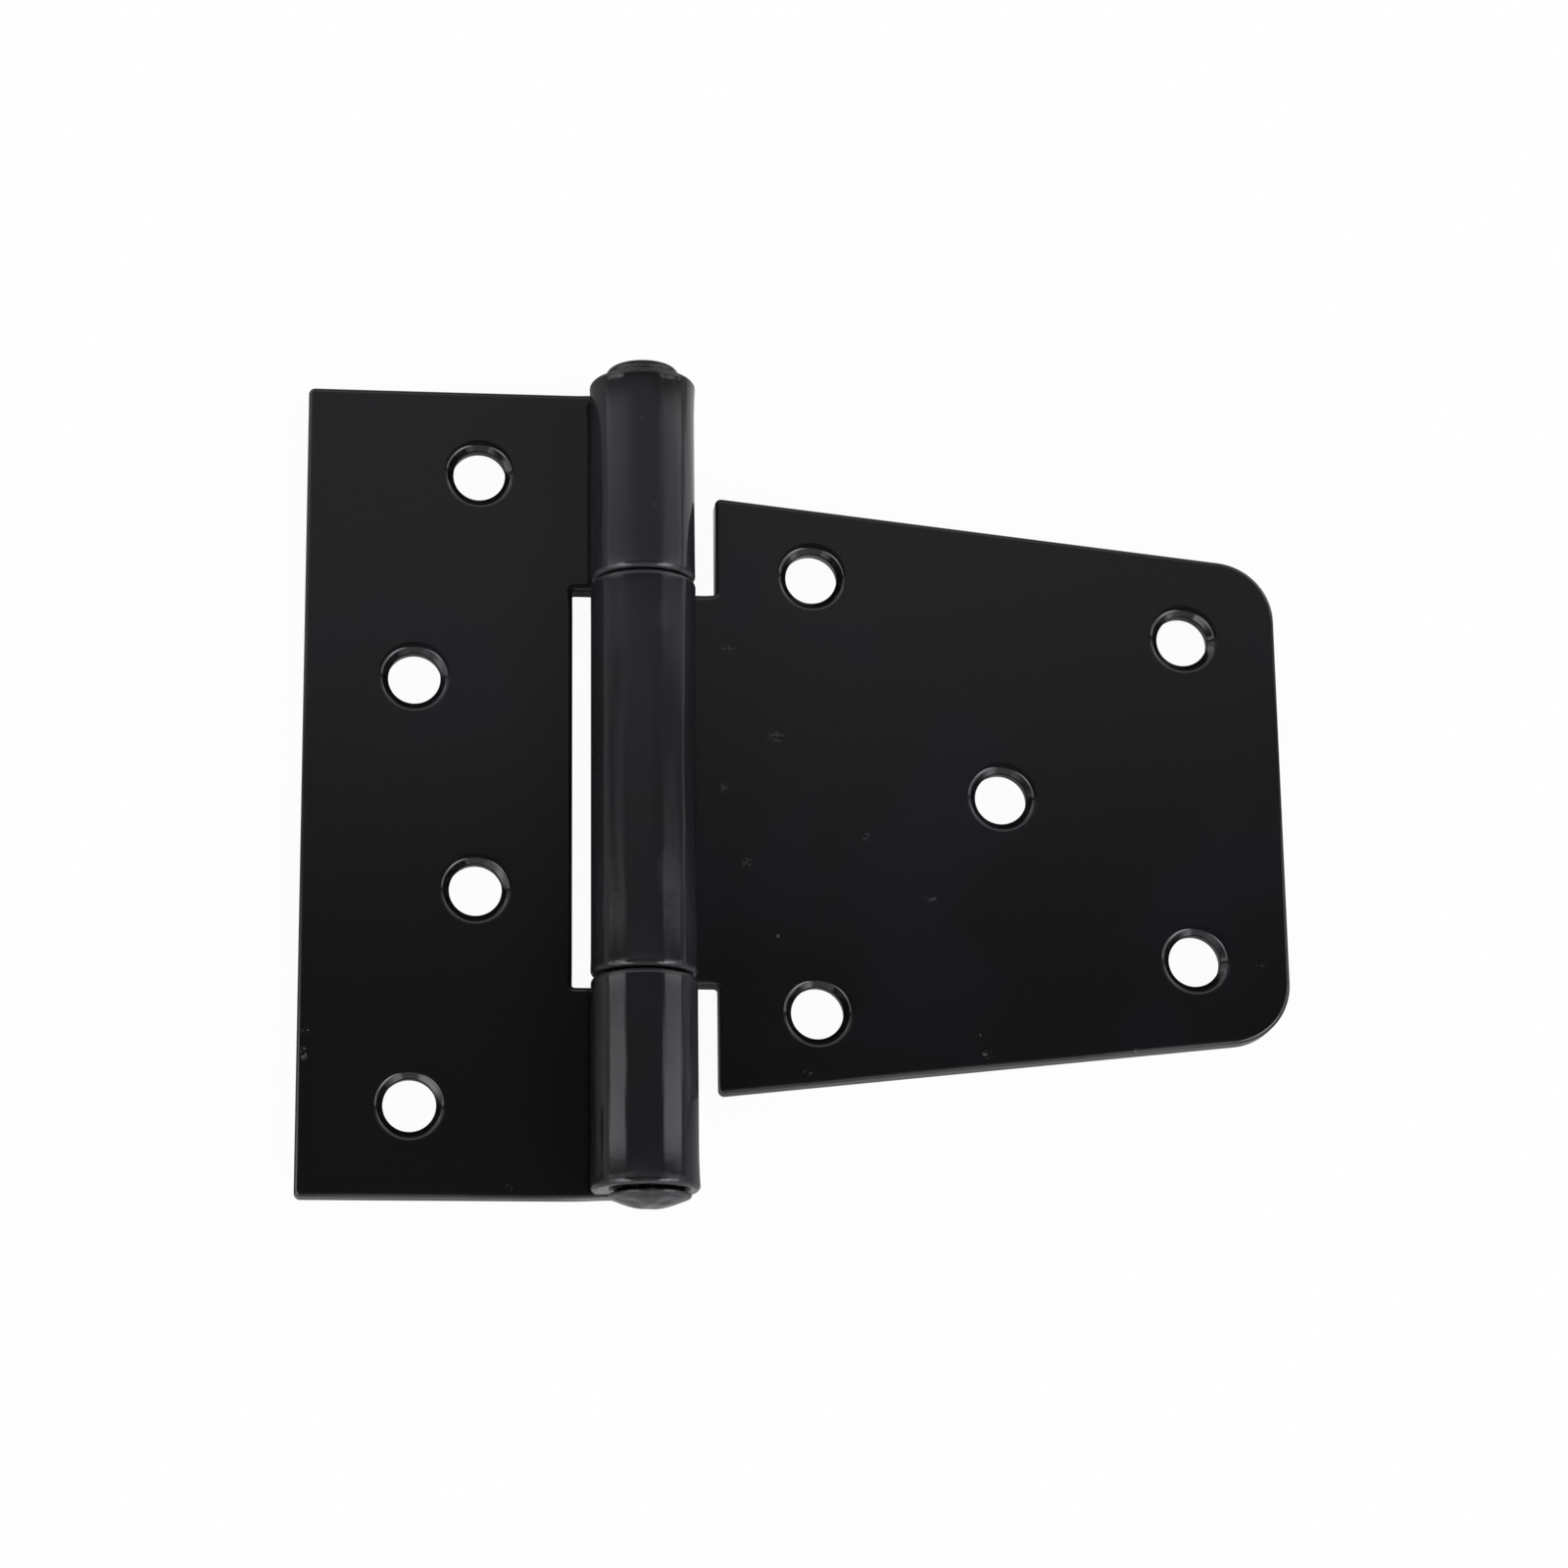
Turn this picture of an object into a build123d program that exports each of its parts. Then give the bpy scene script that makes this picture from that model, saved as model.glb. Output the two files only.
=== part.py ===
"""Surface gate hinge: a post leaf and a tapered gate leaf, each folded from one steel sheet, on one riveted pin.

Millimetres. The hinge lies open and flat on its back. X runs across both leaves, towards the gate leaf.
Y runs along the barrel. Z stands out from the mounting plane, so both leaf backs lie at Z = 0.
The origin is on the mounting plane, under the middle of the barrel.
"""
import os
from math import asin, degrees, sqrt

from build123d import *

# Sheet, pin and barrel
sheet_t = 3.5              # thickness of the sheet that both leaves are folded from
pin_r = 4.0
pin_clearance = 0.05       # running clearance all round the pin, in every knuckle
seam_gap = 0.4             # from a knuckle's free end to the front of its own leaf
knuckle_gap = 0.4          # end play between neighbouring knuckles
barrel_half = 59.7         # half the barrel, and half the height of the post leaf
middle_half = 29.0         # half the gate leaf's knuckle, and half the height of its neck
rim_round = 0.8            # rounding of the knuckles' outer rims

# Pin heads: a formed button at the +Y end, and the shaft peened to a low dome at the -Y end
formed_overlap = 1.35      # how far the formed head reaches past the bore
formed_height = 2.3
formed_round = 1.3
peened_overlap = 1.75      # how far the peened head reaches past the bore
peened_height = 2.6
peened_rim = 0.7           # straight side of the peened head

# Post leaf
post_reach = 48.5          # from the pin's axis to the leaf's outer edge
post_slot = 2.35           # free width between the middle knuckle and the notched leaf
post_end_margin = 12.9     # from the leaf's ends to the nearest hole
post_inner_margin = 13.6   # from the notch to the inner row of holes
post_outer_margin = 15.85  # from the outer edge to the outer row of holes
post_corner_r = 0.8

# Gate leaf
gate_reach = 93.9          # from the pin's axis to the leaf's far edge
gate_slot = 3.45           # free width between the outer knuckles and the leaf's shoulders
gate_near_half = 44.45     # half height beside the barrel
gate_far_half = 35.5       # half height at the far edge, before its corners are rounded
gate_inner_margin = 14.1   # from the shoulders to the inner pair of holes
gate_outer_margin = 13.8   # from the far edge to the outer pair of holes
gate_inner_edge = 10.4     # from the sloping edges to the inner pair
gate_outer_edge = 12.8     # from the sloping edges to the outer pair
gate_near_corner_r = 0.8
gate_far_corner_r = 9.0

# Screw holes and edges
hole_r = 3.8
sink_r = 4.9               # countersink at the leaf's front
sink_angle = 90.0
edge_round = 0.5           # rounding of the leaves' front edges

# Sizes that follow
bore_r = pin_r + pin_clearance
barrel_r = bore_r + sheet_t
wrap_angle = 270 + degrees(asin((bore_r - seam_gap) / barrel_r))
notch_half = middle_half + knuckle_gap
notch_x = barrel_r + post_slot
shoulder_x = barrel_r + gate_slot
formed_r = bore_r + formed_overlap
peened_r = bore_r + peened_overlap
hole_pitch = 2 * (barrel_half - post_end_margin) / 3


def rolled_knuckle(y_low, y_high):
    """Tube rolled from the sheet of a leaf on the +X side.

    It starts under the pin, at the leaf's back, and runs round the far side and over the top,
    down to the leaf's front, where it ends a seam's width above the sheet.
    """
    turn = -wrap_angle
    outer = CenterArc((0, barrel_r), barrel_r, -90, turn)
    inner = CenterArc((0, barrel_r), bore_r, -90, turn)
    section = make_face([outer, Line(outer @ 1, inner @ 1), inner, Line(inner @ 0, outer @ 0)])
    tube = extrude(Plane.XZ.offset(-y_high) * section, y_high - y_low)
    rims = tube.edges().filter_by(GeomType.CIRCLE).filter_by(lambda e: e.radius > bore_r + sheet_t / 2)
    return fillet(rims, rim_round)


def plate(corners, rounded, front_edges):
    """Flat sheet with the outline through the corners, given in order round it.

    rounded lists pairs of corners and their radius. The front edges that the test front_edges accepts
    are rounded too.
    """
    outline = make_face(Polyline(*corners, close=True))
    for places, radius in rounded:
        chosen = [outline.vertices().sort_by_distance(place)[0] for place in places]
        outline = fillet(chosen, radius)
    sheet = extrude(outline, sheet_t)
    front = sheet.faces().sort_by(Axis.Z)[-1]
    return fillet([e for e in front.edges() if front_edges(e)], edge_round)


def screw_hole(x, y):
    """Countersunk through hole, with its cone at the leaf's front."""
    return Pos(x, y, sheet_t) * CounterSinkHole(hole_r, sink_r, depth=sheet_t, counter_sink_angle=sink_angle)


def make_post_leaf():
    """Rectangular leaf with a knuckle at each end of the barrel and a notch between them."""
    outer_corners = [(-post_reach, -barrel_half), (-post_reach, barrel_half)]
    corners = [
        outer_corners[0],
        (0, -barrel_half),
        (0, -notch_half),
        (-notch_x, -notch_half),
        (-notch_x, notch_half),
        (0, notch_half),
        (0, barrel_half),
        outer_corners[1],
    ]
    leaf = plate(corners, [(outer_corners, post_corner_r)], lambda e: e.center().X < -notch_x - edge_round)
    for y_low, y_high in ((-barrel_half, -notch_half), (notch_half, barrel_half)):
        leaf += mirror(rolled_knuckle(y_low, y_high), about=Plane.YZ)
    inner_x = -(notch_x + post_inner_margin)
    outer_x = -(post_reach - post_outer_margin)
    for row in range(4):
        x = outer_x if row % 2 else inner_x
        leaf -= screw_hole(x, barrel_half - post_end_margin - row * hole_pitch)
    return leaf


def gate_half_height(x):
    """Half height of the gate leaf at x, between its two sloping edges."""
    run = (x - shoulder_x) / (gate_reach - shoulder_x)
    return gate_near_half + run * (gate_far_half - gate_near_half)


def make_gate_leaf():
    """Tapered leaf with shoulders, and a neck that is rolled into the middle knuckle."""
    far_corners = [(gate_reach, -gate_far_half), (gate_reach, gate_far_half)]
    near_corners = [(shoulder_x, -gate_near_half), (shoulder_x, gate_near_half)]
    corners = [
        (0, -middle_half),
        (shoulder_x, -middle_half),
        near_corners[0],
        far_corners[0],
        far_corners[1],
        near_corners[1],
        (shoulder_x, middle_half),
        (0, middle_half),
    ]
    rounded = [(far_corners, gate_far_corner_r), (near_corners, gate_near_corner_r)]
    leaf = plate(corners, rounded, lambda e: e.center().X > shoulder_x + edge_round)
    leaf += rolled_knuckle(-middle_half, middle_half)
    inner_x = shoulder_x + gate_inner_margin
    outer_x = gate_reach - gate_outer_margin
    inner_y = gate_half_height(inner_x) - gate_inner_edge
    outer_y = gate_half_height(outer_x) - gate_outer_edge
    for x, y in ((inner_x, inner_y), (outer_x, outer_y)):
        leaf -= screw_hole(x, y)
        leaf -= screw_hole(x, -y)
    leaf -= screw_hole((inner_x + outer_x) / 2, 0)
    return leaf


def make_formed_head():
    """Flat button with a rounded edge, seated on the +Y end of the barrel."""
    button = Cylinder(formed_r, formed_height, align=(Align.CENTER, Align.CENTER, Align.MIN))
    button = fillet(button.edges().sort_by(Axis.Z)[-1], formed_round)
    return Pos(0, barrel_half, 0) * Rot(-90, 0, 0) * button


def make_peened_head():
    """Shallow spherical dome on a short straight rim, seated on the -Y end of the barrel."""
    crown = peened_height - peened_rim
    dome_r = (peened_r**2 + crown**2) / (2 * crown)
    half_r = peened_r / 2
    seat = (peened_r, 0)
    side = (peened_r, -peened_rim)
    on_dome = (half_r, dome_r - peened_height - sqrt(dome_r**2 - half_r**2))
    top = (0, -peened_height)
    profile = make_face([Polyline((0, 0), seat, side), ThreePointArc(side, on_dome, top), Line(top, (0, 0))])
    return Pos(0, -barrel_half, 0) * revolve(profile, Axis.Y)


def make_hinge_pin():
    """Pin through all knuckles, held by a head at each end of the barrel."""
    shaft = Rot(90, 0, 0) * Cylinder(pin_r, 2 * barrel_half)
    return Pos(0, 0, barrel_r) * (shaft + make_formed_head() + make_peened_head())


os.makedirs("parts", exist_ok=True)
for node, solid in (
    ("post_leaf", make_post_leaf()),
    ("gate_leaf", make_gate_leaf()),
    ("hinge_pin", make_hinge_pin()),
):
    export_step(solid, f"parts/{node}.step")
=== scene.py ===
"""A black painted gate hinge, open and flat on its back on a white floor: two folded leaves on a riveted pin.

The shapes are worked out in millimetres in the frame's own axes, X towards the gate leaf, Y along the
barrel and Z up from the floor, and become metres as they go into the meshes.
"""

import bpy
import numpy as np
from mathutils import Matrix, Vector
from mathutils.geometry import delaunay_2d_cdt


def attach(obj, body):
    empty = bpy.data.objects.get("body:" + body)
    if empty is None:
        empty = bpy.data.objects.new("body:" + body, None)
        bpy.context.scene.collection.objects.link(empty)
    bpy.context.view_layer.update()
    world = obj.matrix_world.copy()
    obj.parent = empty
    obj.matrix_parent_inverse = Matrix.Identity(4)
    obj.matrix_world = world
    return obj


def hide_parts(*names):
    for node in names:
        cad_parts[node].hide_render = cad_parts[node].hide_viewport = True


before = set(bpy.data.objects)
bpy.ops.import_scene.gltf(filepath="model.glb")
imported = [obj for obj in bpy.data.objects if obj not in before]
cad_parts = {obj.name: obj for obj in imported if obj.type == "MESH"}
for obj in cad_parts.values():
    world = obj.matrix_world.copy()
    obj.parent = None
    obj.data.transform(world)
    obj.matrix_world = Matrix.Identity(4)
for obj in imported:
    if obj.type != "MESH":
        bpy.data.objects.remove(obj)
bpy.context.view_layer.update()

MM = 0.001

# Sheet, barrel and pin
SHEET = 3.5
BORE_R = 4.05
BARREL_R = BORE_R + SHEET
BEND_R = BORE_R + SHEET / 2
SEAM = 0.4
WRAP = np.radians(270) + np.arcsin((BORE_R - SEAM) / BARREL_R)
ROLLED = BEND_R * WRAP
BARREL_HALF = 59.7
MIDDLE_HALF = 29.05
NOTCH_HALF = MIDDLE_HALF + 0.3
PIN_R = 4.0
FORMED_R, FORMED_HEIGHT, FORMED_ROUND = 5.4, 2.3, 1.3
# Strength of the highlight painted on the rounded edges of the formed and the peened head
FORMED_HIGHLIGHT, PEENED_HIGHLIGHT = 0.2, 0.8
PEENED_R, PEENED_HEIGHT, PEENED_RIM = 5.8, 2.4, 0.7
PEENED_OFF = 0.7
PEENED_BEVEL = 0.5
SEAT_ROUND = 0.2

# Dents in the peened head, as (x, z, radius, depth)
DENTS = np.array([
    (-2.6, 1.9, 1.3, 0.28),
    (1.9, 2.5, 1.2, 0.24),
    (3.2, -0.8, 1.3, 0.26),
    (-0.4, -2.9, 1.5, 0.26),
    (-3.6, -1.1, 1.1, 0.22),
    (0.4, 0.3, 1.4, 0.20),
])

# Leaves
POST_REACH = 48.5
NOTCH_S = BARREL_R + 2.35
GATE_REACH = 93.9
SHOULDER_S = BARREL_R + 3.45
GATE_NEAR_HALF = 44.45
GATE_FAR_HALF = 35.5
GATE_FAR_ROUND = 9.0
CORNER_ROUND = 0.9

# Rounded edges
FRONT_ROUND = 0.7
BACK_ROUND = 0.25
RIM_ROUND = 0.85
NECK_ROUND = 1.0

# Opening of the rolled knuckles at their ends: (end's distance from the middle, length it opens over, amount).
# A length below 0 runs towards the middle. FLARE_TURN is the angle of the roll over which the opening comes in.
POST_FLARES = [(BARREL_HALF, -6.0, 0.22), (NOTCH_HALF, 3.0, 0.04)]
GATE_FLARES = [(MIDDLE_HALF, -4.0, 0.09)]
FLARE_MOST = 1.2
FLARE_TURN = 1.3

# Screw holes, as places (s, y) on the flat sheet
HOLE_R = 3.72
SINK_R = 4.8
BREAK_R = 4.0
LIP_ROUND = 1.1
POST_HOLES = np.array([(23.55, 47.0), (32.65, 15.85), (23.65, -15.4), (32.65, -46.6)])
GATE_HOLES = np.array([(25.1, 32.53), (25.1, -32.53), (80.1, 24.19), (80.1, -24.19), (52.4, -0.42)])
THROAT_ROUND = 0.45
BREAK_ROUND = 0.2
HOLE_MARGIN = 0.8

# How far each plate lies off the middle of its own knuckles, along the barrel
POST_SLIDE, GATE_SLIDE = -0.2, -0.4

# Spacing of the points on plain edges, short edges, rolled edges and profiles, and the steps of turned shapes
EDGE_STEP, SHORT_STEP, TONGUE_STEP, LONG_STEP = 3.0, 2.0, 0.35, 9.0
HEAD_STEP = 0.4
OUTLINE_ARC = np.radians(5)
EDGE_ARC = np.radians(11.5)
HOLE_ARC = np.radians(9)
PIN_ARC = np.radians(8)
HOLE_TURN, PIN_TURN = 2.5, 3.0
FILL_MARGIN = 0.05

# Rows of points across a rolled tongue: how many, how far from its edges, and how far they reach onto the plate
ROLL_ROWS, ROLL_MARGIN, ROLL_PAST = 12, 2.5, 2.0

# The notch's and the neck's edges leave their knuckles' ends at FROM and are straight again, a little off, at TO.
# The upper two stay clear of each other, because the neck passes through the notch when the gate leaf swings back.
NOTCH_FROM, NOTCH_TO = 1.5, 6.5
NOTCH_TOP, NOTCH_FOOT = NOTCH_HALF - 0.1, -NOTCH_HALF - 0.4
NOTCH_ROUND = 0.4
NECK_FROM, NECK_TO = 2.0, 8.0
NECK_TOP, NECK_FOOT = MIDDLE_HALF + 0.05, -MIDDLE_HALF - 0.15
SHOULDER_ROUND = 0.5
SWAY_ROUND = 2.0

# Outlines of the flat sheets, as corners (s, y, radius, spacing of the points after it)
POST_OUTLINE = [
    (POST_REACH, -BARREL_HALF, CORNER_ROUND, EDGE_STEP),
    (POST_REACH, BARREL_HALF, CORNER_ROUND, TONGUE_STEP),
    (-ROLLED, BARREL_HALF, CORNER_ROUND, EDGE_STEP),
    (-ROLLED, NOTCH_HALF, CORNER_ROUND, TONGUE_STEP),
    (NOTCH_FROM, NOTCH_HALF, SWAY_ROUND, TONGUE_STEP),
    (NOTCH_TO, NOTCH_TOP, SWAY_ROUND, TONGUE_STEP),
    (NOTCH_S, NOTCH_TOP, NOTCH_ROUND, EDGE_STEP),
    (NOTCH_S, NOTCH_FOOT, NOTCH_ROUND, TONGUE_STEP),
    (NOTCH_TO, NOTCH_FOOT, SWAY_ROUND, TONGUE_STEP),
    (NOTCH_FROM, -NOTCH_HALF, SWAY_ROUND, TONGUE_STEP),
    (-ROLLED, -NOTCH_HALF, CORNER_ROUND, EDGE_STEP),
    (-ROLLED, -BARREL_HALF, CORNER_ROUND, TONGUE_STEP),
]
GATE_OUTLINE = [
    (-ROLLED, -MIDDLE_HALF, CORNER_ROUND, TONGUE_STEP),
    (NECK_FROM, -MIDDLE_HALF, SWAY_ROUND, TONGUE_STEP),
    (NECK_TO, NECK_FOOT, SWAY_ROUND, TONGUE_STEP),
    (SHOULDER_S, NECK_FOOT, SHOULDER_ROUND, SHORT_STEP),
    (SHOULDER_S, -GATE_NEAR_HALF, CORNER_ROUND, EDGE_STEP),
    (GATE_REACH, -GATE_FAR_HALF, GATE_FAR_ROUND, EDGE_STEP),
    (GATE_REACH, GATE_FAR_HALF, GATE_FAR_ROUND, EDGE_STEP),
    (SHOULDER_S, GATE_NEAR_HALF, CORNER_ROUND, SHORT_STEP),
    (SHOULDER_S, NECK_TOP, SHOULDER_ROUND, TONGUE_STEP),
    (NECK_TO, NECK_TOP, SWAY_ROUND, TONGUE_STEP),
    (NECK_FROM, MIDDLE_HALF, SWAY_ROUND, TONGUE_STEP),
    (-ROLLED, MIDDLE_HALF, CORNER_ROUND, EDGE_STEP),
]

# Tongues that are rolled into knuckles, from one y to the other
POST_TONGUES = [(-BARREL_HALF, -NOTCH_HALF), (NOTCH_HALF, BARREL_HALF)]
GATE_TONGUES = [(-MIDDLE_HALF, MIDDLE_HALF)]

# Scuffs on the leaves' fronts, as (x, y, half sizes, amount), and lighter patches on top of the barrel
SCUFFS = [
    (12.6, 21.0, 1.6, 0.6, 0.5),
    (19.6, 7.6, 1.8, 1.3, 0.4),
    (11.9, -0.3, 0.7, 1.5, 0.5),
    (15.1, -11.2, 1.3, 1.0, 0.4),
    (19.3, -21.9, 0.6, 0.5, 1.0),
    (32.6, -7.3, 0.9, 1.1, 0.4),
    (41.7, -16.3, 1.3, 0.6, 0.5),
    (48.3, -35.9, 0.6, 0.5, 0.9),
    (49.2, -38.6, 0.9, 1.1, 1.0),
    (23.6, -41.8, 1.3, 0.6, 0.4),
    (71.0, -38.1, 0.6, 0.6, 0.8),
    (89.7, -25.3, 1.2, 0.3, 0.6),
    (-47.2, -36.6, 0.8, 0.6, 0.8),
    (-47.4, -39.8, 0.7, 1.3, 1.0),
    (-18.6, -58.5, 0.7, 0.8, 0.6),
]
LIGHTER_PATCHES = [
    (1.1, 38.6, 0.6, 0.7, 1.0),
    (2.6, -15.7, 2.0, 5.0, 1.0),
    (2.4, 22.0, 1.7, 4.0, 0.6),
]


def eased(low, high, value):
    """Smooth step: 0 up to low, 1 from high, and 3 t^2 - 2 t^3 between them."""
    t = np.clip((value - low) / (high - low), 0.0, 1.0)
    return t * t * (3.0 - 2.0 * t)


def rounded_path(corners, closed, arc_step):
    """Points along straight runs joined by arcs, with the unit normals to the right of the path.

    A corner is (a, b, radius, spacing): its place, the arc that rounds it and the spacing of the points
    on the run that leaves it. The arc touches both runs at radius * tan(turn / 2) from the corner, and
    its normal swings from the one run's to the other's in steps of at most arc_step.
    """
    spec = np.array(corners, dtype=float)
    place, radius, spacing = spec[:, :2], spec[:, 2], spec[:, 3]
    ahead = np.roll(place, -1, axis=0) - place
    length = np.linalg.norm(ahead, axis=1)
    ahead /= length[:, None]
    behind = np.roll(ahead, 1, axis=0)
    if not closed:
        behind[0] = ahead[0]
        ahead[-1] = behind[-1]
    turn = np.arctan2(behind[:, 0] * ahead[:, 1] - behind[:, 1] * ahead[:, 0], (behind * ahead).sum(axis=1))
    cut = radius * np.tan(np.abs(turn) / 2)
    points, normals = [], []
    for i in range(len(spec)):
        right = np.array([behind[i, 1], -behind[i, 0]])
        swing = turn[i] * np.linspace(0, 1, int(np.ceil(abs(turn[i]) / arc_step)) + 1)
        facing = np.stack([
            np.cos(swing) * right[0] - np.sin(swing) * right[1],
            np.sin(swing) * right[0] + np.cos(swing) * right[1],
        ], axis=1)
        hub = place[i] - behind[i] * cut[i] - np.sign(turn[i]) * radius[i] * right
        points.append(hub + np.sign(turn[i]) * radius[i] * facing)
        normals.append(facing)
        if closed or i < len(spec) - 1:
            free = length[i] - cut[i] - cut[(i + 1) % len(spec)]
            along = np.linspace(0, free, int(free / spacing[i]) + 2)[1:-1, None]
            points.append(place[i] + ahead[i] * (cut[i] + along))
            normals.append(np.repeat([[ahead[i, 1], -ahead[i, 0]]], len(along), axis=0))
    return np.concatenate(points), np.concatenate(normals)


def grid_faces(rows, columns, closed):
    """Triangles of a grid stored row by row, two to a cell. A closed grid joins its last row to its first."""
    row = np.arange(rows if closed else rows - 1)[:, None]
    column = np.arange(columns - 1)[None, :]
    a = row * columns + column
    b = (row + 1) % rows * columns + column
    corners = np.stack([a, b, b + 1, a, b + 1, a + 1], axis=-1)
    return corners.reshape(-1, 3)


def filled_face(loops, scattered):
    """Triangles that fill the first loop outside the other loops, through all the points given.

    The points count on through the loops and then the scattered ones. A triangle with its three corners on
    one and the same inner loop lies in a hole and is left out. The triangles run anticlockwise.
    """
    flat = np.concatenate(loops + [scattered])
    sizes = [len(loop) for loop in loops]
    starts = np.cumsum([0] + sizes[:-1])
    rims = [k + np.stack([np.arange(n), np.roll(np.arange(n), -1)], axis=1) for k, n in zip(starts, sizes)]
    found = delaunay_2d_cdt([Vector(p) for p in flat.tolist()], np.concatenate(rims).tolist(), [], 1, 1e-7)
    source = np.array([origin[0] for origin in found[3]])
    triangles = source[np.array(found[2])]
    label = np.repeat(np.arange(len(loops) + 1), sizes + [len(scattered)])[triangles]
    inner = (label[:, 0] > 0) & (label[:, 0] < len(loops))
    triangles = triangles[~(inner & (label[:, 0] == label[:, 1]) & (label[:, 0] == label[:, 2]))]
    a, b, c = flat[triangles[:, 0]], flat[triangles[:, 1]], flat[triangles[:, 2]]
    area = (b[:, 0] - a[:, 0]) * (c[:, 1] - a[:, 1]) - (b[:, 1] - a[:, 1]) * (c[:, 0] - a[:, 0])
    return np.where(area[:, None] > 0, triangles, triangles[:, ::-1])


def carried(place, points, normals):
    """Points moved by place, a bending of space, with the normals that their surface then has.

    A normal is carried by the cofactors of the bending's derivatives, taken as central differences.
    """
    step = 1e-4 * np.eye(3)
    along_a, along_b, along_c = [place(points + axis) - place(points - axis) for axis in step]
    moved = normals[:, :1] * np.cross(along_b, along_c)
    moved += normals[:, 1:2] * np.cross(along_c, along_a)
    moved += normals[:, 2:] * np.cross(along_a, along_b)
    handed = np.sign((np.cross(along_a, along_b) * along_c).sum(axis=1))
    return place(points), moved * (handed / np.linalg.norm(moved, axis=1))[:, None]


def leaf_fold(side, flares, slide):
    """Bending of the flat sheet (s, y, n) into a leaf: s along the sheet, n above its back.

    From s = 0 outwards the sheet stays flat, x = s and z = n. Below 0 it is rolled round the pin by the
    angle -s / BEND_R with its back outside, at BARREL_R - n from the pin's axis. Towards its ends the roll
    opens a little, by flares. Past the shoulders and beside the outer knuckles the plate lies slide off the
    knuckle's middle in y. side is 1 for the gate leaf and -1 for the post leaf, which is folded the other way.
    """
    def fold(points):
        s, y, n = points[:, 0], np.abs(points[:, 1]), points[:, 2]
        angle = np.maximum(-s, 0.0) / BEND_R
        opened = sum(amount * np.clip(1 - (y - end) / run, 0, FLARE_MOST) ** 2 for end, run, amount in flares)
        reach = BARREL_R - n + opened * eased(0.0, FLARE_TURN, angle)
        x = np.where(s > 0, s, -reach * np.sin(angle))
        z = np.where(s > 0, n, BARREL_R - reach * np.cos(angle))
        past_shoulder = eased(SHOULDER_S - 0.5, SHOULDER_S + 3.0, s)
        beside_knuckle = eased(4.0, 10.0, s) * eased(30.0, 32.0, y)
        off = slide * np.maximum(past_shoulder, beside_knuckle)
        return np.stack([side * x, points[:, 1] + off, z], axis=1)
    return fold


def edge_profile(back_round, front_round):
    """Sheet's edge as (outwards, n) from its back to its front, rounded at both."""
    corners = [
        (-back_round - FILL_MARGIN, 0.0, 0.0, LONG_STEP),
        (0.0, 0.0, back_round, LONG_STEP),
        (0.0, SHEET, front_round, LONG_STEP),
        (-front_round - FILL_MARGIN, SHEET, 0.0, LONG_STEP),
    ]
    return rounded_path(corners, False, EDGE_ARC)


def hole_profile():
    """Countersunk hole as (radius, n) from its front to its back: lip, cone, and a bore that opens to the back."""
    corners = [
        (SINK_R + HOLE_MARGIN, SHEET, 0.0, LONG_STEP),
        (SINK_R, SHEET, LIP_ROUND, LONG_STEP),
        (HOLE_R, SHEET - SINK_R + HOLE_R, THROAT_ROUND, LONG_STEP),
        (BREAK_R, 0.0, BREAK_ROUND, LONG_STEP),
        (BREAK_R + HOLE_MARGIN, 0.0, 0.0, LONG_STEP),
    ]
    return rounded_path(corners, False, HOLE_ARC)


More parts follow.
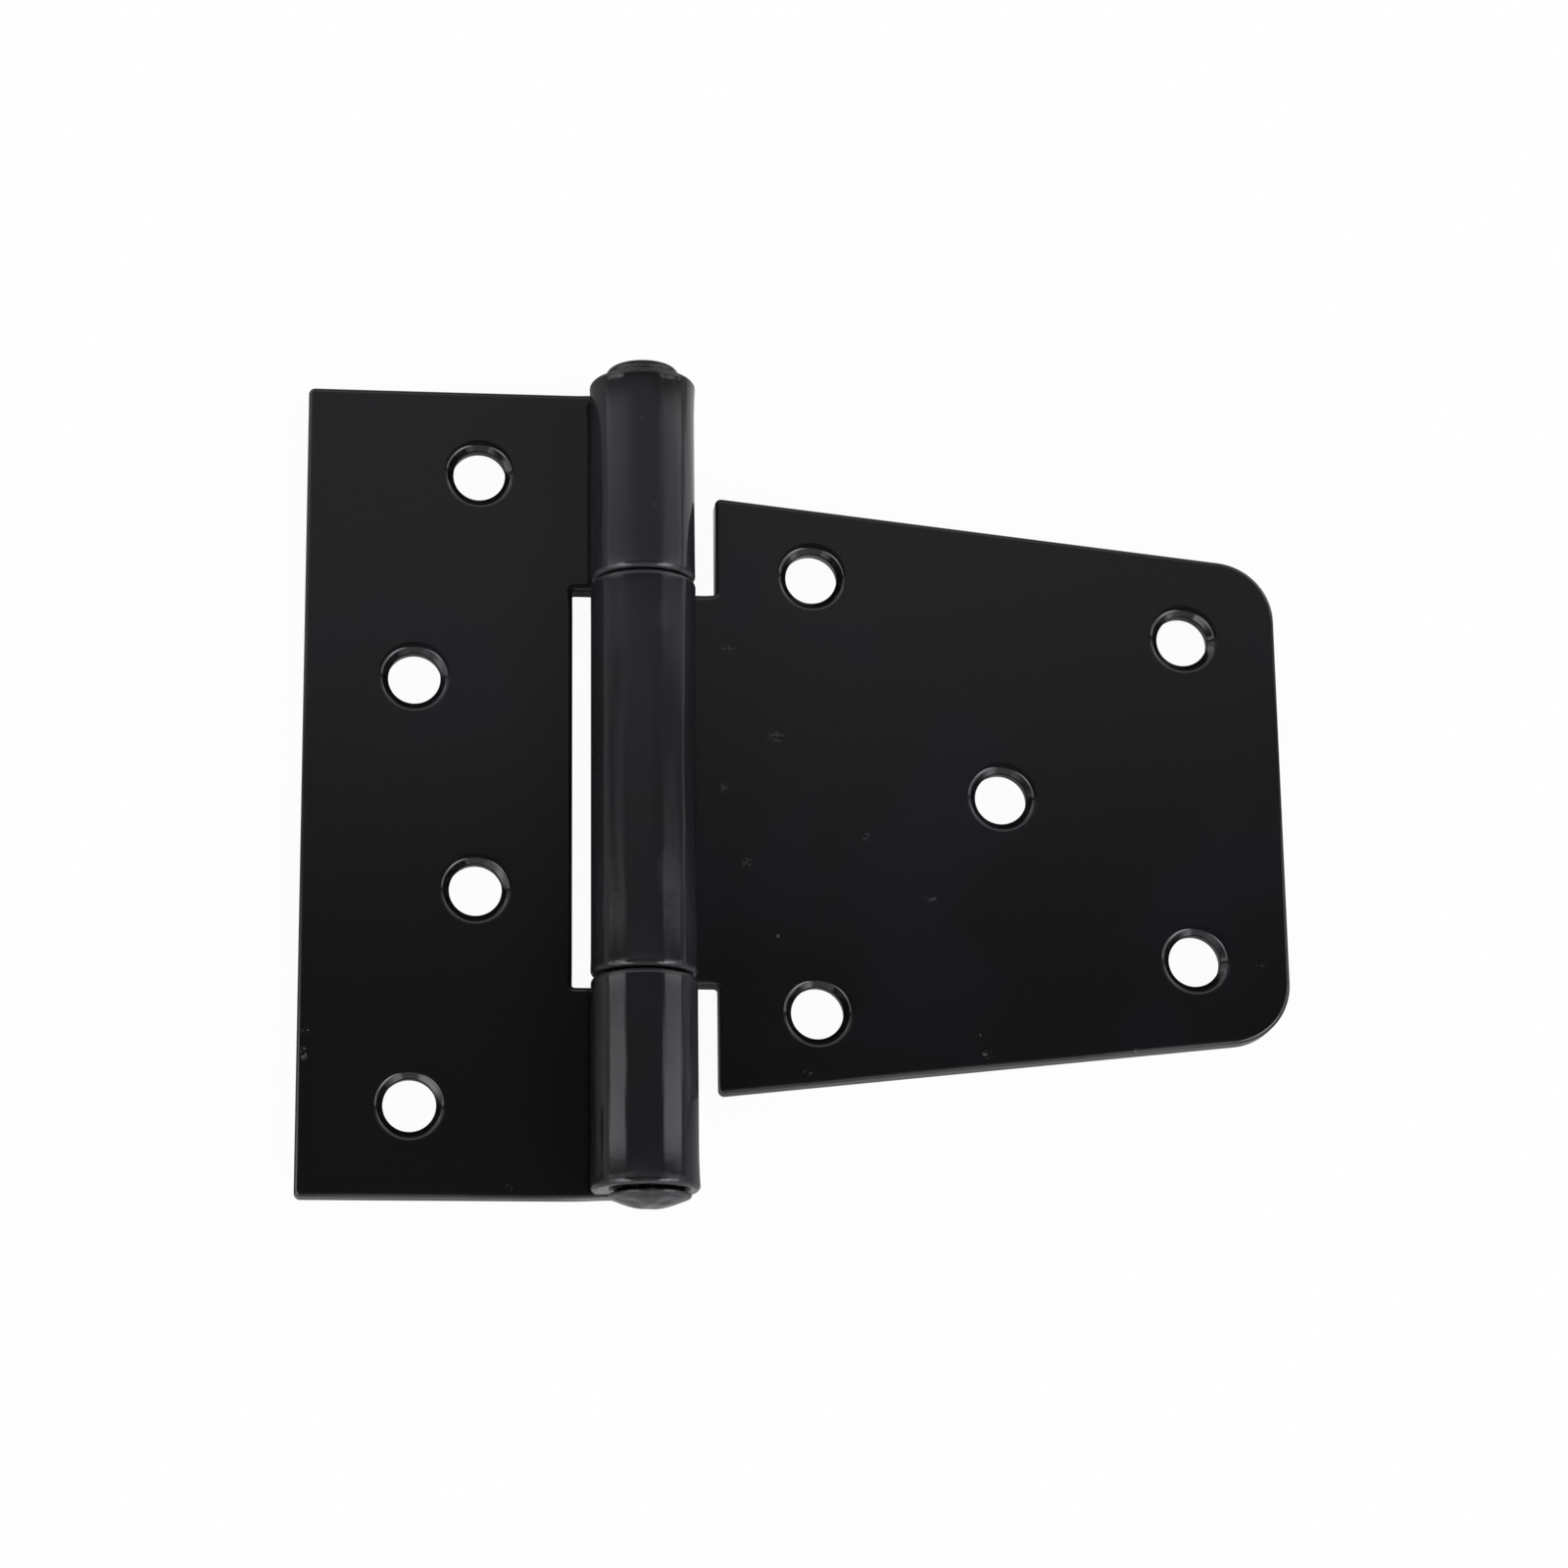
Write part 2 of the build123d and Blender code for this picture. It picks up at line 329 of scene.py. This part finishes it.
def leaf_surface(outline, holes, tongues, side, flares, slide):
    """Whole skin of one leaf, folded: points, normals, triangles and the strength of a painted highlight at the
    points.

    The edge's profile is carried round the outline and the hole's profile round each hole. Its rounding is
    larger on the rolled tongues' backs and on the fronts of the neck's and the notch's edges. Triangles fill
    the front and the back between them, with rows of points across the tongues. The painted highlight is
    4 t (1 - t) on the rounded edges, where t is how far the normal has turned to the front, or on a tongue to the
    back.
    """
    loop, loop_out = rounded_path(outline, True, OUTLINE_ARC)
    plain, edge_out = edge_profile(BACK_ROUND, FRONT_ROUND)
    rim, _ = edge_profile(RIM_ROUND, FRONT_ROUND)
    soft, _ = edge_profile(BACK_ROUND, NECK_ROUND)
    s, y = loop[:, 0], np.abs(loop[:, 1])
    rolled = 1 - eased(-4.0, 1.0, s)
    beside_neck = np.abs(y - MIDDLE_HALF) < 0.6
    neck = eased(1.5, 4.0, s) * (1 - eased(SHOULDER_S - 1.5, SHOULDER_S, s)) * beside_neck
    profile = plain + rolled[:, None, None] * (rim - plain) + neck[:, None, None] * (soft - plain)
    rows, columns = profile.shape[:2]
    out = np.repeat(loop_out[:, None], columns, axis=1)
    band = np.concatenate([loop[:, None] + out * profile[..., :1], profile[..., 1:]], axis=2)
    facing = np.broadcast_to(edge_out[None], (rows, columns, 2))
    band_facing = np.concatenate([out * facing[..., :1], facing[..., 1:]], axis=2)
    points, normals = [band.reshape(-1, 3)], [band_facing.reshape(-1, 3)]
    # Painted highlight along the rounded edges, strongest where the normal has turned half way
    turned = np.maximum(facing[..., 1], 0.0) + rolled[:, None] * np.maximum(-facing[..., 1], 0.0)
    edge_highlight = 4 * turned * (1 - turned)
    faces = [grid_faces(rows, columns, True)]
    back_loops, front_loops = [band[:, 0, :2]], [band[:, -1, :2]]
    back_at = [np.arange(rows) * columns]
    front_at = [np.arange(rows) * columns + columns - 1]
    count = rows * columns

    sink, sink_out = hole_profile()
    spin = np.radians(np.arange(0, 360, HOLE_TURN))
    spoke = np.stack([np.cos(spin), np.sin(spin)], axis=1)
    for hole in holes:
        ring = np.concatenate([
            hole + spoke[:, None] * sink[None, :, :1],
            np.broadcast_to(sink[None, :, 1:], (len(spin), len(sink), 1)),
        ], axis=2)
        ring_facing = np.concatenate([
            spoke[:, None] * sink_out[None, :, :1],
            np.broadcast_to(sink_out[None, :, 1:], (len(spin), len(sink), 1)),
        ], axis=2)
        points.append(ring.reshape(-1, 3))
        normals.append(ring_facing.reshape(-1, 3))
        faces.append(count + grid_faces(len(spin), len(sink), True))
        front_loops.append(ring[:, 0, :2])
        back_loops.append(ring[:, -1, :2])
        front_at.append(count + np.arange(len(spin)) * len(sink))
        back_at.append(count + np.arange(len(spin)) * len(sink) + len(sink) - 1)
        count += len(spin) * len(sink)

    rolls = []
    for low, high in tongues:
        across = np.linspace(low + ROLL_MARGIN, high - ROLL_MARGIN, ROLL_ROWS)
        along = np.arange(-ROLLED + ROLL_MARGIN, ROLL_PAST, TONGUE_STEP)
        rolls.append(np.stack(np.meshgrid(along, across), axis=-1).reshape(-1, 2))
    rolls = np.concatenate(rolls)
    for height, loops, at in ((SHEET, front_loops, front_at), (0.0, back_loops, back_at)):
        points.append(np.column_stack([rolls, np.full(len(rolls), height)]))
        normals.append(np.broadcast_to([0.0, 0.0, 1.0 if height else -1.0], (len(rolls), 3)))
        number = np.concatenate(at + [count + np.arange(len(rolls))])
        count += len(rolls)
        filled = filled_face(loops, rolls)
        faces.append(number[filled if height else filled[:, ::-1]])
    points, normals = carried(leaf_fold(side, flares, slide), np.concatenate(points), np.concatenate(normals))
    edge_highlight = np.concatenate([edge_highlight.ravel(), np.zeros(count - rows * columns)])
    return points, normals, np.concatenate(faces)[:, ::side], edge_highlight


def peened(points):
    """Bending that sets the pin's domed end a little off its axis and beats DENTS into it.

    Each dent pushes the dome's outside in along y by depth * exp(-(distance / radius)^2).
    """
    x, y, z = points[:, 0], points[:, 1], points[:, 2]
    off = (x[:, None] - DENTS[:, 0]) ** 2 + (z[:, None] - BARREL_R - DENTS[:, 1]) ** 2
    depth = (DENTS[:, 3] * np.exp(-off / DENTS[:, 2] ** 2)).sum(axis=1)
    outer = eased(BARREL_HALF + 0.2, BARREL_HALF + 0.9, -y)
    return np.stack([x + PEENED_OFF * (y < -BARREL_HALF + 0.25), y + depth * outer, z], axis=1)


def pin_surface():
    """Pin as a profile (radius, y) turned about its axis: button head, shaft and peened dome.

    The dome is an arc through its rim and its top. The grid is closed at both poles. The painted highlight is
    greatest where a head's surface is turned half way from its side to its end.
    """
    crown = PEENED_HEIGHT - PEENED_RIM
    dome_r = (PEENED_R**2 + crown**2) / (2 * crown)
    tilt = np.arcsin((PEENED_R - PEENED_BEVEL) / dome_r) * np.linspace(1, 0, 40)[:, None]
    dome = np.concatenate([dome_r * np.sin(tilt), dome_r * (1 - np.cos(tilt))], axis=1)
    dome += [0.0, -BARREL_HALF - PEENED_HEIGHT]
    dome_out = np.concatenate([np.sin(tilt), -np.cos(tilt)], axis=1)
    edge_y = dome[0, 1]
    corners = [
        (0.0, BARREL_HALF + FORMED_HEIGHT, 0.0, HEAD_STEP),
        (FORMED_R, BARREL_HALF + FORMED_HEIGHT, FORMED_ROUND, HEAD_STEP),
        (FORMED_R, BARREL_HALF, SEAT_ROUND, LONG_STEP),
        (PIN_R, BARREL_HALF, SEAT_ROUND, LONG_STEP),
        (PIN_R, -BARREL_HALF, SEAT_ROUND, LONG_STEP),
        (PIN_R + 0.5, -BARREL_HALF, SEAT_ROUND, LONG_STEP),
        (PEENED_R, -BARREL_HALF - 0.45, SEAT_ROUND, LONG_STEP),
        (PEENED_R, edge_y + 0.15, 0.4, LONG_STEP),
        (PEENED_R - PEENED_BEVEL, edge_y, 0.0, LONG_STEP),
    ]
    path, right = rounded_path(corners, False, PIN_ARC)
    path = np.concatenate([path[:-1], dome])
    out = np.concatenate([-right[:-1], dome_out])
    spin = np.radians(np.arange(0, 360, PIN_TURN))[:, None]
    cos, sin = np.cos(spin), np.sin(spin)
    ring = np.stack([path[:, 0] * cos, path[:, 1] + 0 * spin, BARREL_R + path[:, 0] * sin], axis=2)
    facing = np.stack([out[:, 0] * cos, out[:, 1] + 0 * spin, out[:, 0] * sin], axis=2)
    points, normals = carried(peened, ring.reshape(-1, 3), facing.reshape(-1, 3))
    turned = np.abs(out[:, 1])
    # Painted highlight where a head's surface turns from its side to its end
    edge_highlight = 4 * turned * (1 - turned) * np.where(path[:, 1] > 0, FORMED_HIGHLIGHT, PEENED_HIGHLIGHT)
    return points, normals, grid_faces(len(spin), len(path), True), np.tile(edge_highlight, len(spin))


def make_piece(name, skin, paint):
    """Object from points in millimetres, with those that coincide welded and the skin's own normals kept."""
    points, normals, faces, edge_highlight = skin
    _, first, welded = np.unique(np.round(points, 4), axis=0, return_index=True, return_inverse=True)
    faces = welded.ravel()[faces]
    whole = (faces[:, 0] != faces[:, 1]) & (faces[:, 1] != faces[:, 2]) & (faces[:, 2] != faces[:, 0])
    mesh = bpy.data.meshes.new(name)
    mesh.from_pydata((points[first] * MM).tolist(), [], faces[whole].tolist())
    mesh.shade_smooth()
    mesh.normals_split_custom_set_from_vertices(normals[first].tolist())
    # The painted edge highlight goes with each point as an attribute
    mesh.attributes.new("edge_highlight", "FLOAT", "POINT").data.foreach_set("value", edge_highlight[first].astype(np.float32))
    mesh.materials.append(paint)
    piece = bpy.data.objects.new(name, mesh)
    bpy.context.scene.collection.objects.link(piece)
    return piece


class Value:
    """A number that changes over a surface. Arithmetic on it adds Math nodes to its material."""

    def __init__(self, finish, socket):
        self.finish = finish
        self.socket = socket

    def math(self, operation, first, second):
        node = self.finish.node("ShaderNodeMath", {"operation": operation}, {0: first, 1: second})
        return Value(self.finish, node.outputs[0])

    def __add__(self, other):
        return self.math("ADD", self, other)

    def __sub__(self, other):
        return self.math("SUBTRACT", self, other)

    def __rsub__(self, other):
        return self.math("SUBTRACT", other, self)

    def __mul__(self, other):
        return self.math("MULTIPLY", self, other)

    def __truediv__(self, other):
        return self.math("DIVIDE", self, other)

    def __pow__(self, other):
        return self.math("POWER", self, other)

    def __neg__(self):
        return self.math("SUBTRACT", 0.0, self)

    def __gt__(self, other):
        return self.math("GREATER_THAN", self, other)

    __radd__ = __add__
    __rmul__ = __mul__

    def most(self, other):
        return self.math("MAXIMUM", self, other)

    def eased(self, low, high):
        """Smooth step from 0 at low to 1 at high."""
        ends = {"Value": self, "From Min": low, "From Max": high}
        node = self.finish.node("ShaderNodeMapRange", {"interpolation_type": "SMOOTHSTEP"}, ends)
        return Value(self.finish, node.outputs[0])


class Finish:
    """Node tree of a material or of the world, emptied."""

    def __init__(self, owner):
        owner.use_nodes = True
        self.owner = owner
        self.tree = owner.node_tree
        self.tree.nodes.clear()

    def node(self, kind, settings, inputs):
        """Adds a node of this kind, applies its settings, then sets or links its sockets."""
        node = self.tree.nodes.new(kind)
        for key, value in settings.items():
            setattr(node, key, value)
        for key, value in inputs.items():
            source = value.socket if isinstance(value, Value) else value
            if isinstance(source, bpy.types.NodeSocket):
                self.tree.links.new(source, node.inputs[key])
            else:
                node.inputs[key].default_value = source
        return node

    def object_place(self):
        return self.node("ShaderNodeTexCoord", {}, {}).outputs["Object"]

    def noise(self, place, scale, detail):
        node = self.node("ShaderNodeTexNoise", {}, {"Vector": place, "Scale": scale, "Detail": detail})
        return Value(self, node.outputs["Fac"])

    def specks(self, place, scale, share, size):
        """Round specks, each in a cell of 1 / scale metres: share of the cells have one, size across in cells."""
        node = self.node("ShaderNodeTexVoronoi", {}, {"Vector": place, "Scale": scale})
        pick = self.node("ShaderNodeSeparateColor", {}, {"Color": node.outputs["Color"]})
        chosen = Value(self, pick.outputs["Red"]) > 1.0 - share
        return chosen * (1.0 - Value(self, node.outputs["Distance"]).eased(0.35 * size, size))

    def rub(self, place, centre, half):
        """Soft spot round a centre, with its half sizes along the three axes."""
        spot = {"Vector": place, "Location": centre, "Scale": half}
        inside = self.node("ShaderNodeMapping", {"vector_type": "TEXTURE"}, spot).outputs[0]
        length = self.node("ShaderNodeVectorMath", {"operation": "LENGTH"}, {0: inside}).outputs["Value"]
        return 1.0 - Value(self, length).eased(0.4, 1.0)

    def blend(self, factor, first, second):
        """Colour that goes from first to second with factor."""
        node = self.node("ShaderNodeMix", {"data_type": "RGBA"}, {0: factor, 6: first, 7: second})
        return node.outputs[2]

    def tone(self, factor, plain, other):
        """Blend of two plain colours."""
        return self.blend(factor, (*plain, 1.0), (*other, 1.0))


def black_paint(name, rough, scuffs_at, lighter_patches_at):
    """Glossy black stoving paint: orange peel, rolling marks along the barrel, nibs of dust and handling marks.

    The barrel is what stands above the plates. It is filed at its ends and round its joints, both taken by the
    square of the distance from its middle. Its base colour is lighter than the plates', a painted sheen. Scuffs,
    lighter patches on the barrel's top, dust and a painted highlight along the rounded edges show through greyer.
    """
    finish = Finish(bpy.data.materials.new(name))
    place = finish.object_place()
    axes = finish.node("ShaderNodeSeparateXYZ", {}, {"Vector": place}).outputs
    along, up = Value(finish, axes["Y"]), Value(finish, axes["Z"])
    barrel = up.eased(0.0036, 0.0050)
    square = along * along
    joint = square.eased(0.0279 ** 2, 0.0288 ** 2) * (1.0 - square.eased(0.0298 ** 2, 0.0307 ** 2))
    filed = (square.eased(0.0580 ** 2, 0.0594 ** 2) + 0.6 * joint) * barrel
    drawn = finish.node("ShaderNodeMapping", {}, {"Vector": place, "Scale": (1.0, 0.07, 1.0)}).outputs[0]
    marks = finish.noise(drawn, 700.0, 1.0).eased(0.35, 0.70) * barrel
    uneven = finish.noise(place, 34.0, 3.0)
    smudge = uneven.eased(0.45, 0.75)
    peel = finish.noise(place, 900.0, 0.0)
    burr = peel * filed
    nibs = finish.specks(place, 150.0, 0.12, 0.045)
    dust = finish.specks(place, 420.0, 0.06, 0.035)
    grains = finish.noise(place, 2200.0, 0.0).eased(0.48, 0.62)
    scuffs = lighter_patches = 0.0
    for x, y, a, b, amount in scuffs_at:
        scuffs += amount * finish.rub(place, (x * MM, y * MM, 0.0035), (a * MM, b * MM, 0.001)) * grains
    for x, y, a, b, amount in lighter_patches_at:
        lighter_patches += amount * finish.rub(place, (x * MM, y * MM, 0.013), (a * MM, b * MM, 0.006))
    # Painted highlight along the rounded edges, read from the skin's point attribute
    edge_highlight = Value(finish, finish.node("ShaderNodeAttribute", {"attribute_name": "edge_highlight"}, {}).outputs["Fac"])
    # The barrel is given a base colour about twice as light as the plates': painted sheen on the raised barrel.
    # Both tones also vary at random between neutral and purple.
    flat = finish.tone(smudge, (0.0049, 0.0050, 0.0047), (0.0058, 0.0048, 0.0080))
    rolled = finish.tone(uneven.eased(0.35, 0.62), (0.0094, 0.0094, 0.0090), (0.0108, 0.0094, 0.0138))
    paint_and_barrel_sheen = finish.blend(barrel, flat, rolled)
    # Dust, nibs, scuffs and the lighter patches are marks in the paint; the edge highlight among them is painted
    # light. All of them blend the paint towards grey.
    marks_and_painted_highlight = dust * 0.35 + nibs * 0.10 + scuffs * 0.5 + lighter_patches * 0.10 + edge_highlight * uneven.eased(0.25, 0.75) * 0.5
    colour = finish.blend(marks_and_painted_highlight, paint_and_barrel_sheen, (0.10, 0.10, 0.105, 1.0))
    height = peel * 4.0 + marks * 18.0 + uneven * 30.0 + burr * 70.0
    bump = finish.node("ShaderNodeBump", {}, {"Height": height, "Distance": 1e-6, "Strength": 1.0})
    gloss = {
        "Base Color": colour,
        "Roughness": rough + 0.07 * smudge + 0.04 * marks + 0.25 * (dust + scuffs) + 0.12 * burr,
        "Normal": bump.outputs["Normal"],
        "IOR": 1.5,
        "Specular Tint": (0.975, 0.945, 1.0, 1.0),
    }
    shader = finish.node("ShaderNodeBsdfPrincipled", {}, gloss)
    finish.node("ShaderNodeOutputMaterial", {}, {"Surface": shader.outputs[0]})
    return finish.owner


def white_floor():
    """Floor that shows white to the camera, dimmer in the paint, and keeps a soft part of the hinge's shadow.

    The paint sees it brighter on the right of the upper knuckle and below the barrel's lower end.
    """
    finish = Finish(bpy.data.materials.new("white_floor"))
    rays = finish.node("ShaderNodeLightPath", {}, {}).outputs
    seen = Value(finish, rays["Is Camera Ray"]).most(Value(finish, rays["Is Transmission Ray"]))
    mirrored = Value(finish, rays["Is Glossy Ray"])
    axes = finish.node("ShaderNodeSeparateXYZ", {}, {"Vector": finish.object_place()}).outputs
    x, y = Value(finish, axes["X"]), Value(finish, axes["Y"])
    open_floor = 0.13 + 0.80 * x.eased(0.003, 0.012) * y.eased(0.030, 0.046) * (1.0 - y.eased(0.064, 0.074))
    open_floor += 0.45 * (1.0 - (x * x).eased(0.006 ** 2, 0.013 ** 2)) * (-y).eased(0.055, 0.062)
    shown = (0.96 * seen).most(0.62 * mirrored)
    matt = finish.node("ShaderNodeBsdfDiffuse", {}, {"Color": (0.9, 0.9, 0.9, 1.0)})
    glowing = finish.tone(1.0 - mirrored * (1.0 - open_floor), (0.0, 0.0, 0.0), (1.0, 1.0, 1.0))
    white = finish.node("ShaderNodeEmission", {}, {"Color": glowing, "Strength": 1.0})
    mixed = finish.node("ShaderNodeMixShader", {}, {0: shown, 1: matt.outputs[0], 2: white.outputs[0]})
    finish.node("ShaderNodeOutputMaterial", {}, {"Surface": mixed.outputs[0]})
    reach, level = 3.0, -0.0003
    corners = [(reach * a, reach * b, level) for a, b in ((-1, -1), (1, -1), (1, 1), (-1, 1))]
    mesh = bpy.data.meshes.new("floor")
    mesh.from_pydata(corners, [], [(0, 1, 2, 3)])
    mesh.materials.append(finish.owner)
    floor = bpy.data.objects.new("floor", mesh)
    bpy.context.scene.collection.objects.link(floor)


def studio_world():
    """Studio round the hinge, by direction: two softboxes at the sides, a low light in front, and behind them a
    glow, two side walls and a strip. The ceiling and the horizon are dim. The camera sees it all white.

    A softbox starts a little above the floor and reaches up to a tilt from the vertical that differs left and
    right. It fades out towards the back and is brighter towards the front, where a dark band parts it in two.
    """
    world = bpy.data.worlds.new("studio")
    bpy.context.scene.world = world
    world.cycles.sampling_method = "NONE"
    finish = Finish(world)
    looking = finish.node("ShaderNodeTexCoord", {}, {}).outputs["Generated"]
    axes = finish.node("ShaderNodeSeparateXYZ", {}, {"Vector": looking}).outputs
    x, y, z = [Value(finish, axes[key]) for key in "XYZ"]
    across = x / (x * x + z * z + 1e-6) ** 0.5
    right = across.eased(0.55, 0.64) * x.eased(0.25, 0.42)
    left = (-across).eased(0.67, 0.76) * (-x).eased(0.25, 0.42)
    boxes = right * z.eased(0.10, 0.22) + left * z.eased(0.02, 0.14)
    boxes *= 1.0 - (1.0 - y.eased(0.05, 0.16)) * z.eased(0.18, 0.26) * (1.0 - z.eased(0.29, 0.40))
    edges = z.eased(0.30, 0.42) + 0.6 * (1.0 - z.eased(0.15, 0.23))
    boxes *= (1.0 - y.eased(0.185, 0.258)) * (2.0 + 3.7 * (-y).eased(0.08, 0.48) * edges)
    walls = (1.14 * across.eased(0.25, 0.95) + 0.93 * (-across).eased(0.30, 0.95)) * y.eased(0.275, 0.37)
    middle = across.eased(-0.95, -0.45) * (1.0 - across.eased(0.10, 0.65))
    glow = y.eased(0.205, 0.33) * (0.05 + 0.27 * middle)
    front = 0.75 * (-y).eased(0.60, 0.90) * (1.0 - z.eased(0.30, 0.50))
    strip = 0.9 * y.eased(0.45, 0.55) * (1.0 - y.eased(0.78, 0.90))
    back = (glow + walls) * (1.0 - y.eased(0.50, 0.80))
    horizon = 0.18 * (1.0 - z.eased(0.0, 0.20))
    light = 0.06 + boxes + back + strip + front + horizon
    seen = Value(finish, finish.node("ShaderNodeLightPath", {}, {}).outputs["Is Camera Ray"])
    strength = seen + (1.0 - seen) * light
    sky = finish.node("ShaderNodeBackground", {}, {"Color": (1.0, 1.0, 1.0, 1.0), "Strength": strength})
    finish.node("ShaderNodeOutputWorld", {}, {"Surface": sky.outputs[0]})


def photo_camera():
    """Camera above the hinge's lower left, aimed at the gate leaf, with the photograph's long lens."""
    eye = Vector((-0.04578, -0.15758, 0.57265))
    aim = Vector((0.02103, 0.00155, 0.0))
    forward = (aim - eye).normalized()
    right = forward.cross(Vector((0.0, 1.0, 0.0))).normalized()
    turn = Matrix((right, right.cross(forward), -forward)).transposed()
    turn = turn @ Matrix.Rotation(np.radians(-0.738), 3, "Z")
    lens = bpy.data.cameras.new("photo_camera")
    lens.sensor_width = 36.0
    lens.lens = 94.62
    holder = bpy.data.objects.new("photo_camera", lens)
    holder.matrix_world = Matrix.Translation(eye) @ turn.to_4x4()
    bpy.context.scene.collection.objects.link(holder)
    bpy.context.scene.camera = holder


leaf_paint = black_paint("black_leaf_paint", 0.09, SCUFFS, LIGHTER_PATCHES)
pin_paint = black_paint("black_pin_paint", 0.18, [], [])
post_skin = leaf_surface(POST_OUTLINE, POST_HOLES, POST_TONGUES, -1, POST_FLARES, POST_SLIDE)
gate_skin = leaf_surface(GATE_OUTLINE, GATE_HOLES, GATE_TONGUES, 1, GATE_FLARES, GATE_SLIDE)
post_leaf = make_piece("post_leaf_sheet", post_skin, leaf_paint)
gate_leaf = make_piece("gate_leaf_sheet", gate_skin, leaf_paint)
pin = make_piece("riveted_pin", pin_surface(), pin_paint)

for piece, node, body, slot in (
    (post_leaf, "post_leaf", "post", "leaf_paint"),
    (gate_leaf, "gate_leaf", "gate", "leaf_paint"),
    (pin, "hinge_pin", "post", "pin_paint"),
):
    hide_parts(node)
    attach(piece, body)

white_floor()
studio_world()
photo_camera()
bpy.context.scene.view_settings.view_transform = "Standard"
